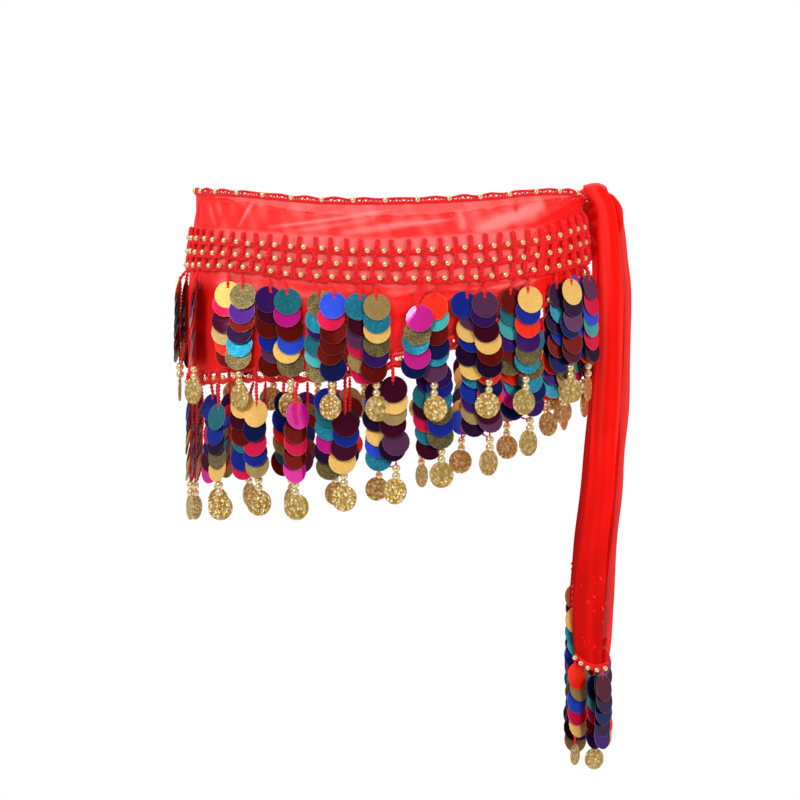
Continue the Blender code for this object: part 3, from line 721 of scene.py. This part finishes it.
# Its pairs, the line it hangs from and how far below that, the length of cord above the first disc,
# how far out from the cloth it starts, and how far out the two strands of a pair hang
tiers = {
    "upper": (UPPER_PAIRS, 2.0, 0.0015, 0.0080, 0.0028, (0.0076, 0.0043)),
    "lower": (LOWER_PAIRS, 3.0, COMB + 0.0005, 0.0090, 0.0010, (0.0021, -0.0013)),
}
for tier, (pairs, deep, lower, stem, start, outs) in tiers.items():
    pairs = np.array(pairs)
    total = len(pairs)
    swing = np.clip(rng.normal(0, 0.16, total), -0.26, 0.26)
    swing[list(TURNED[tier])] = list(TURNED[tier].values())
    edge_on = abs(swing) > 0.5
    pushed = np.where(edge_on, 0.0045 * np.sin(abs(swing)), 0)
    level = np.where(edge_on, 0, np.tan(np.clip(swing, -0.45, 0.45)) * HALF_PAIR)
    sway = np.clip(rng.normal(0, 0.0022, total), -0.0026, 0.0026)
    shifted = np.zeros((total, 1))
    if tier == "upper":
        shifted[: len(FRONT_SHIFTS), 0] = FRONT_SHIFTS
    end = stem + DISC + (PER_STRAND - 1) * DISC_STEP - 0.0005
    cords, faced = [], []
    for member in (1, 0):
        at = (pairs + member) / COLUMNS
        root = on_scarf(at, deep, start, lower)
        _, outward_here, side_here = round_hips(at)
        before = np.full(total, outs[member])
        if tier == "upper":
            before[MAGENTA_PAIR] = outs[1 - member]
        reach = (before - start + pushed + level * (1 if member else -1))[:, None]
        extra = (sway + rng.normal(0, 0.0006, total))[:, None]
        stretch = 1 + np.clip(rng.normal(0, 0.025, total), -0.045, 0.045)[:, None]

        uneven = np.clip(rng.normal(0, 0.14, (total, PER_STRAND)), -0.25, 0.25) * DISC_STEP
        uneven[:, 0] = 0
        holes = (stem + HOLE_DOWN + DISC_STEP * np.arange(PER_STRAND) + uneven) * stretch
        places = hang(root, outward_here, side_here, holes, stem, reach, extra, shifted)
        pick = rng.choice(len(ODDS), holes.shape, p=ODDS / ODDS.sum())
        again = pick[:, 1:] == pick[:, :-1]
        pick[:, 1:] = np.where(again, (pick[:, 1:] + 3) % len(ODDS), pick[:, 1:])
        if tier == "upper":
            names = list(FINISHES)
            pick[: len(FRONT_TOPS), 0] = [names.index(tops[member]) for tops in FRONT_TOPS]
            if member:
                pick[MAGENTA_PAIR, :2] = -1, names.index("magenta_foil")
        elif member == 0:
            late = rng.choice(3, total, p=[0.5, 0.3, 0.2])
            pick = np.where(np.arange(PER_STRAND) < late[:, None], -1, pick)
        _, out_here, along_here = round_hips((pairs + 0.5) / COLUMNS)
        tilt = math.radians(9.5) + rng.normal(0, 0.006, holes.size)
        yaw = np.repeat(swing, PER_STRAND) + np.clip(rng.normal(0, 0.015, holes.size), -0.03, 0.03)
        roll = rng.normal(0, 0.14, holes.size)
        bow = rng.normal(0.0001, 0.00007, holes.size), rng.uniform(0, math.pi, holes.size)
        bend = np.stack(bow, -1)
        crease = rng.choice([0, 0.0006, -0.0003], holes.size, p=[0.62, 0.19, 0.19])
        if tier == "upper" and member:
            glossy = MAGENTA_PAIR * PER_STRAND + 1
            tilt[glossy] += 0.05
            yaw[glossy] -= 0.03
            bend[glossy] = -0.0006, -0.8
            crease[glossy] = 0
        name = f"{tier}_{'inner' if member else 'outer'}_discs"
        ways = np.repeat(out_here, PER_STRAND, 0), np.repeat(along_here, PER_STRAND, 0)
        places = places.reshape(-1, 3)
        make_discs(name, places, *ways, pick.ravel(), tilt, yaw, roll, bend, crease)

        drop = np.linspace(0, end + 0.001, CORD_POINTS)[None] * stretch
        back = 0.0009 * unit(drop / stem - 1)
        path = hang(root, outward_here, side_here, drop, stem, reach, extra, shifted, back)
        cords.append(path)
        faced.append(np.broadcast_to(outward_here[:, None], path.shape))
    inner_path, outer_path = cords
    meet = outer_path[:, -1:] + np.array([0, 0, 0.0005])
    ease = unit((np.linspace(0, 1, CORD_POINTS) - 0.84) / 0.16)[None, :, None]
    cords[0] = inner_path * (1 - ease) + meet * ease
    down_cord = np.linspace(0, end, CORD_POINTS)
    stitches = 1 + 0.30 * np.sin(down_cord * 2 * math.pi / 0.0030)
    thick = np.where(down_cord < stem + 0.023, 0.00145, 0.00085) * stitches
    strands = tube(np.concatenate(cords), np.concatenate(faced), thick[None], 5)
    cord_piece = make_yarn(f"{tier}_fringe_cords", [strands])
    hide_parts(f"{tier}_fringe")
    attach(cord_piece, "root")

    tip = outer_path[:, -1]
    balls = np.concatenate([tip - [0, 0, 0.0016], tip - [0, 0, 0.0078]])
    end_beads = make_beads(f"{tier}_end_beads", balls, 0.0034)
    _, outward_here, side_here = round_hips(pairs / COLUMNS)
    right, facing = turned_by(side_here, outward_here, swing * 0.6 + rng.normal(0, 0.50, total))
    low = PLUMB + 0.12 * rng.normal(0, 1, (total, 1)) * right
    low /= np.linalg.norm(low, axis=-1, keepdims=True)
    centre = tip - [0, 0, 0.0100] + low * TIER_COIN[0]
    coins = make_coins(f"{tier}_coins", centre, np.cross(facing, low), low, facing, TIER_COIN)
    for piece in (end_beads, coins):
        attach(piece, "root")


# The knot is the two ends of the cloth pulled through each other once: a rucked band of cloth
# crosses it on the slant, and tucks in along both sides. It sits on the wrap at the left hip,
# mostly under the front tie end.
fall, turn = polar_grid(np.linspace(0, math.pi, 64), 112)
ball = np.stack([np.sin(fall) * np.cos(turn), np.sin(fall) * np.sin(turn), np.cos(fall)], -1)
across = ball @ np.array([0.17, 0.62, 0.77]) + 0.16 * ball[..., 1] ** 2 - 0.05
rucks = np.cos(17 * across + 2.2 * ball[..., 1] * ball[..., 2] + 1.5 * ball[..., 0])
swell = 1 + 0.050 * np.exp(-((across / 0.45) ** 4)) + 0.016 * rucks
swell -= 0.050 * bell(np.abs(across) - 0.52, 0.075)
tucked_in = bell(np.abs(across) - 0.52, 0.1)
centre = np.array([0.1824, -0.0030, -0.0060])
radii = np.array([0.0150, 0.0155, 0.0215])
knot = make_piece(
    "knot_chiffon",
    (centre + ball * radii * swell[..., None]).reshape(1, -1, 3),
    grid_faces(64, 112, True)[:, ::-1],
    new_chiffon("knotted polyester chiffon", "#FF5048", "#FF1210", "#F80402", 1.0),
    uv=np.stack([turn * 0.016, fall * 0.020], -1),
    # The rucks are painted paler where they bulge, a painted highlight, and deeper red in their hollows
    # and in the tucks, painted shade.
    tone=unit(0.5 - 0.35 * rucks + 0.5 * tucked_in),
    weld=True,
)
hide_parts("knot")
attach(knot, "root")

# The wrap's two ends gather into the knot in soft folds, one over the other.
part_in, part_down = np.meshgrid(np.linspace(0, 1, 40), np.linspace(0, 1, 90), indexing="ij")
gathered = []
for share, way in ((0.0, -1), (1.0, 1)):
    edge_line = on_scarf(share, 3 * part_down, CLOTH_OUT)
    held = np.stack(
        [
            0.1800 + 0 * part_down,
            -0.0030 + 0.0025 * way + 0.0020 * np.cos(9 * part_down),
            0.0100 - 0.0330 * part_down**0.8,
        ],
        -1,
    )
    ease = (part_in**0.75)[..., None]
    sheet = edge_line * (1 - ease) + held * ease
    middle = np.sin(math.pi * part_in)
    ruck = np.sin(2 * math.pi * 5.5 * part_down + way) * middle * 0.0011
    sheet[..., 1] += way * 0.0030 * middle + ruck
    sheet[..., 2] -= 0.0040 * middle * part_down
    gathered.append(sheet)
gathers = make_piece(
    "wrap_gathers",
    np.stack(gathered).reshape(2, -1, 3),
    grid_faces(40, 90),
    chiffon,
    uv=np.tile(np.stack([part_in * 0.016, -part_down * 0.05], -1), (2, 1, 1, 1)),
    tone=np.tile(0.80 + 0.2 * np.sin(2 * math.pi * 5.5 * part_down), (2, 1, 1)),
)
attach(gathers, "root")


# The two tie ends are the scarf's long corners, each folded in three like a letter. The front one
# rises over the knot and hangs straight. Its front fold is narrower than the layer behind it, so
# a paler strip of single chiffon shows along its outer edge.
# Height, distance behind the middle, across, width of the bundle, half its depth
FRONT_TAIL = np.array([
    (-0.0100, 0.0190, 0.1850, 0.0200, 0.0016),
    (0.0050, 0.0195, 0.1830, 0.0230, 0.0018),
    (0.0190, 0.0100, 0.1790, 0.0260, 0.0019),
    (0.0215, -0.0040, 0.1760, 0.0270, 0.0020),
    (0.0160, -0.0168, 0.1775, 0.0260, 0.0020),
    (0.0000, -0.0232, 0.1840, 0.0215, 0.0025),
    (-0.0200, -0.0270, 0.1860, 0.0245, 0.0029),
    (-0.0400, -0.0270, 0.1872, 0.0270, 0.0031),
    (-0.0650, -0.0270, 0.1885, 0.0298, 0.0033),
    (-0.1000, -0.0270, 0.1880, 0.0292, 0.0034),
    (-0.1350, -0.0270, 0.1866, 0.0305, 0.0034),
    (-0.1700, -0.0270, 0.1846, 0.0323, 0.0034),
    (-0.2050, -0.0270, 0.1818, 0.0323, 0.0036),
    (-0.2400, -0.0270, 0.1794, 0.0328, 0.0036),
    (-0.2750, -0.0270, 0.1752, 0.0335, 0.0038),
    (-0.3050, -0.0270, 0.1723, 0.0342, 0.0038),
    (-0.3350, -0.0270, 0.1708, 0.0340, 0.0036),
    (-0.3620, -0.0270, 0.1702, 0.0322, 0.0034),
    (-0.3790, -0.0270, 0.1700, 0.0275, 0.0030),
])
REAR_TAIL = np.array([
    (-0.0294, 0.0000, 0.1815, 0.0200, 0.0018),
    (-0.0480, 0.0080, 0.1850, 0.0240, 0.0024),
    (-0.0800, 0.0120, 0.1865, 0.0280, 0.0032),
    (-0.1300, 0.0130, 0.1855, 0.0290, 0.0034),
    (-0.1900, 0.0130, 0.1820, 0.0300, 0.0034),
    (-0.2450, 0.0130, 0.1775, 0.0310, 0.0036),
    (-0.2900, 0.0130, 0.1725, 0.0320, 0.0036),
    (-0.3300, 0.0130, 0.1690, 0.0320, 0.0036),
    (-0.3620, 0.0130, 0.1675, 0.0250, 0.0032),
])
# The fold line across a tie end, as shares of half its width and half its depth
FOLD_LINE = np.array([
    (-0.92, -0.70),
    (-0.80, -1.00),
    (-0.27, -1.10),
    (0.15, -1.02),
    (0.44, -0.88),
    (0.52, -0.50),
    (0.34, -0.06),
    (-0.20, 0.04),
    (-0.78, 0.02),
    (-1.00, 0.48),
    (-0.82, 0.92),
    (-0.27, 1.05),
    (0.40, 1.10),
    (1.00, 1.00),
])


FOOT_HALF = 0.0138


def foot_arc(side):
    """How much higher than straight the foot of a tie end runs, for shares of half its width."""
    inner, outer = 0.0092 * ((side - 0.3) / 1.3) ** 2, 0.0034 * ((side - 0.3) / 0.7) ** 2
    return -0.0042 + np.where(side < 0.3, inner, outer)


def make_tie_end(name, table, high):
    """The fold line carried down the table's rows, with long soft creases down its length."""
    count = 22 * (len(table) - 1) + 1
    rows = through_rows(table, np.linspace(0, len(table) - 1, count))
    line = through_rows(FOLD_LINE, np.linspace(0, len(FOLD_LINE) - 1, 84))
    middle = rows[:, [2, 1, 0]]
    along = np.gradient(middle, axis=0)
    forward = np.cross(along, [1.0, 0, 0])
    forward /= np.linalg.norm(forward, axis=-1, keepdims=True)
    down = path_lengths(middle[None])[0][:, None]
    shoulder = unit((0.0215 - rows[:, :1]) / 0.014) ** 0.55 if high else np.ones((count, 1))
    side = np.where(line[None, :, 0] > 0.5, 0.5 + (line[None, :, 0] - 0.5) * shoulder, line[None, :, 0])
    crease = 0.00055 * np.sin(6.0 * side + 9.0 * down + 2.0 * np.sin(11 * down))
    crease += 0.00022 * np.sin(14.0 * side - 23.0 * down + 1)
    crease += 0.00030 * np.sin(95 * down + 4 * side) * unit((down - 0.25) * 8)
    crease *= np.clip(np.abs(rows[:, :1] - 0.02) / 0.05, 0.25, 1)
    half, depth = rows[:, 3] / 2, rows[:, 4]
    ripple = 0.0009 * np.sin(31 * down[:, 0] + 1) + 0.0005 * np.sin(83 * down[:, 0])
    lifted = -line[None, :, 1] * depth[:, None] + crease
    points = middle[:, None] + forward[:, None] * lifted[..., None]
    points[..., 0] += side * (half + ripple * 0.5)[:, None]
    bend = bell(rows[:, :1] - 0.0215, 0.010)
    points[..., 2] -= 0.0040 * (side + 0.15) ** 2 * bend
    points[..., 2] += foot_arc(side) * unit(1 - (rows[:, :1] - table[-1, 0]) / 0.030) ** 1.5
    across = path_lengths((line * [0.016, 0.0034])[None])[0]
    uv = np.stack(np.broadcast_arrays(across[None], -down), -1)
    single = unit((side - 0.55) * 12)
    low = unit((-0.20 - rows[:, :1]) / 0.14)
    tone = 0.48 + 0.10 * np.sin(5.5 * side + 2.5 * np.sin(7 * down)) + 0.18 * single
    # Its last term paints the long creases: paler on their ridges, a painted highlight, and deeper red
    # in their troughs, painted shade.
    tone += low * (0.46 - 0.28 * np.clip(side, -1, 1)) + 260 * crease * -0.6
    # Thirty pale streaked flecks near the foot are painted glints.
    spots = np.random.default_rng(len(table))
    for _ in range(30):
        centre, reach = spots.uniform(-0.7, 0.8), table[-1, 0] + spots.uniform(0.006, 0.075)
        beside, above = (side - centre) * 0.016, rows[:, :1] - reach
        leaning = spots.uniform(-0.9, 0.9)
        gap = np.hypot(beside - leaning * above, above / spots.uniform(1.5, 4.0))
        tone -= spots.uniform(0.3, 1.1) * bell(gap, spots.uniform(0.0003, 0.0006))
    piece = make_piece(
        name,
        points.reshape(1, -1, 3),
        grid_faces(*points.shape[:2]),
        tie_chiffon,
        uv=uv,
        tone=unit(tone),
    )
    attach(piece, "root")
    return piece


tie_chiffon = new_chiffon("folded sheer chiffon", "#FF5A50", "#FF1008", "#C80400", 0.97)
front_tail = make_tie_end("front_tie_end", FRONT_TAIL, True)
rear_tail = make_tie_end("rear_tie_end", REAR_TAIL, False)
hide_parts("front_tail")
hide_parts("rear_tail")


# Each tie end closes in a strip of crochet with gold plated beads, and short strands of the same
# paillettes and coins hang from it. One strand starts higher up, at the cloth's inner edge.
# Distance across from the middle, distance behind the cloth, paillettes, 1 for a coin, and turn
TAIL_STRANDS = (
    (-0.0148, -0.0056, 5, 1, 0.75),
    (0.0080, -0.0056, 5, 0, 0.88),
    (0.0015, -0.0020, 5, 1, 0.82),
    (-0.0115, 0.0016, 5, 0, 0.77),
    (0.0090, 0.0016, 5, 0, 0.86),
    (-0.0135, 0.0066, 11, 0, 0.55),
)
FORWARD = np.array([0.0, -1.0, 0.0])
# The finishes in view on the front tie end: its side strand, its left one and its middle one
TAIL_COLOURS = {
    5: "matte_gold turquoise_foil aqua deep_blue crimson turquoise_foil "
    "khaki_gold teal navy maroon khaki_gold",
    0: "red_orange khaki_gold royal_blue crimson matte_gold",
    2: "navy aqua crimson dark_red purple",
    1: "maroon dark_purple navy dark_purple purple",
}


def make_tail_fringe(name, node_name, table, seed, aside):
    """Strands from the foot of a tie end: discs by their holes, coins below, beads on the strip."""
    pull = np.random.default_rng(seed)
    height, behind, across = table[-1, :3] + [0, 0, aside]
    foot = height - 0.0008
    places, kinds, lines, coins, turned = [], [], [], [], []
    for number, (x, y, count, coin, turn) in enumerate(TAIL_STRANDS):
        top = foot - 0.0030 + foot_arc(x / FOOT_HALF) if count < 11 else foot + 0.0490
        first = top - 0.0045
        holes = first - HOLE_DOWN - DISC_STEP * np.arange(count)
        sway = pull.normal(0, 0.0008, count).cumsum()
        places.append(np.stack([across + x + sway, np.full(count, behind + y), holes], -1))
        kinds.append(pull.choice(len(ODDS), count, p=ODDS / ODDS.sum()))
        turned.append(np.full(count, turn))
        if name == "front_tail_fringe" and number in TAIL_COLOURS:
            kinds[-1] = np.array([list(FINISHES).index(word) for word in TAIL_COLOURS[number].split()])
        low = holes[-1] - DISC + HOLE_DOWN - (0.0060 if number == 0 else 0)
        t = np.linspace(0, 1, 72)
        back = behind + y + 0.0008 * np.minimum(t * 9, 1)
        lines.append(np.stack([across + x + 0 * t, back, top + (low - top) * t], -1))
        if coin:
            coins.append((across + x, behind + y, low - 0.0080))
    places = np.concatenate(places)
    n = len(places)
    make_discs(
        name + "_discs",
        places,
        FORWARD,
        np.array([-1.0, 0.0, 0.0]),
        np.concatenate(kinds),
        np.full(n, math.radians(8)),
        np.concatenate(turned) + pull.normal(0, 0.01, n),
        pull.normal(0, 0.14, n),
        np.stack([pull.normal(0.0001, 0.00007, n), pull.uniform(0, math.pi, n)], -1),
        np.zeros(n),
    )
    strip = np.linspace(-0.0150, 0.0135, 72)
    arc = foot + foot_arc(strip / FOOT_HALF)
    for rise, high in ((-0.0004, 0.0004), (0.0030, 0.0007), (0.0012, 0.0016)):
        wave = high * np.sin(strip * (2200 if high < 0.001 else 1500))
        lines.append(np.stack([across + strip, behind - 0.0040 + 0 * strip, arc - rise + wave], -1))
    edge = np.linspace(0, 1, 72)
    loops = across - 0.0162 + 0.0011 * np.sin(edge * 44)
    climb = foot + 0.066 - 0.034 * edge + 0.0009 * np.cos(edge * 44)
    lines.append(np.stack([loops, behind + 0.0016 + 0 * edge, climb], -1))
    lines = np.stack(lines)
    faced = np.broadcast_to(FORWARD, lines.shape)
    cords = make_yarn(name + "_cords", [tube(lines, faced, 0.0010, 6)])
    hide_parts(node_name)
    spots = np.array([-0.0150, -0.0100, -0.0041, 0.0034, 0.0105])
    low = foot - 0.0030 + foot_arc(spots / FOOT_HALF)
    centres = np.stack([across + spots, np.full(5, behind - 0.0062), low], -1)
    beads = make_beads(name + "_beads", centres, 0.0023)
    yaw = np.array([1.05, 0.35])
    right = np.stack([np.cos(yaw), np.sin(yaw), 0 * yaw], -1)
    facing = np.stack([np.sin(yaw), -np.cos(yaw), 0 * yaw], -1)
    coin_piece = make_coins(name + "_coins", np.array(coins), right, PLUMB, facing, TAIL_COIN)
    for piece in (cords, beads, coin_piece):
        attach(piece, "root")


make_tail_fringe("front_tail_fringe", "front_tail_fringe", FRONT_TAIL, 21, 0.0)
make_tail_fringe("rear_tail_fringe", "rear_tail_fringe", REAR_TAIL, 34, 0.0045)


# The studio: a white surround, a pale round floor well below the scarf, and two large soft lights
# in front of it. The surround is uneven to the sides, so that foil and metal have something to
# reflect.
fall, turn = polar_grid(np.array([0.0, 0.4, 0.8, 1.1]), 48)
ground = np.stack([fall * np.cos(turn), fall * np.sin(turn), 0 * fall - 0.95], -1)
paper = new_finish("matt white paper", {"Roughness": 0.9})
grain = add(paper, "ShaderNodeTexNoise", {"Scale": 3.0}).outputs["Fac"]
cover(paper, mixed(paper, grain, "#EEEDEB", "#F6F5F3"))
level_faces = grid_faces(4, 48, True)[:, ::-1]
floor = make_piece("floor", ground.reshape(1, -1, 3), level_faces, paper, weld=True)

for name, place, size, power, mirrored in (
    ("key light", (-1.3, -1.8, 1.3), 0.9, 31.0, True),
    ("fill light", (1.5, -1.7, 0.3), 0.7, 25.0, False),
    ("side light", (-2.1, -0.2, 0.2), 0.8, 7.0, False),
    ("back light", (0.4, 1.9, 0.9), 1.2, 16.0, True),
):
    lamp = bpy.data.lights.new(name, "AREA")
    lamp.energy = power
    lamp.size = size
    holder = bpy.data.objects.new(name, lamp)
    holder.location = place
    holder.visible_glossy = mirrored
    aim = np.array([0.0, 0.0, -0.15]) - np.array(place)
    holder.rotation_euler = (
        math.acos(-aim[2] / np.linalg.norm(aim)),
        0,
        math.atan2(aim[1], aim[0]) - math.pi / 2,
    )
    bpy.context.scene.collection.objects.link(holder)

world = bpy.data.worlds.new("white studio")
world.use_nodes = True
bpy.context.scene.world = world
direct = add(world, "ShaderNodeTexCoord").outputs["Generated"]
patches = add(world, "ShaderNodeTexNoise", {"Vector": direct, "Scale": 3.2, "Detail": 1.0})
spread = ranged(world, patches.outputs["Fac"], 0.40, 0.66, 0.28, 1.05)
parts = add(world, "ShaderNodeSeparateXYZ", {0: direct})
before = ranged(world, parts.outputs["Y"], -1.0, -0.40, 0.35, 1.0)
dimmed = worked(world, spread, before, "MULTIPLY")
seen = add(world, "ShaderNodeLightPath").outputs["Is Camera Ray"]
choose = add(world, "ShaderNodeMix", {0: seen, 2: dimmed, 3: 1.0})
surround = world.node_tree.nodes["Background"].inputs
surround["Color"].default_value = (1, 1, 1, 1)
world.node_tree.links.new(choose.outputs[0], surround["Strength"])
bpy.context.scene.view_settings.view_transform = "Standard"
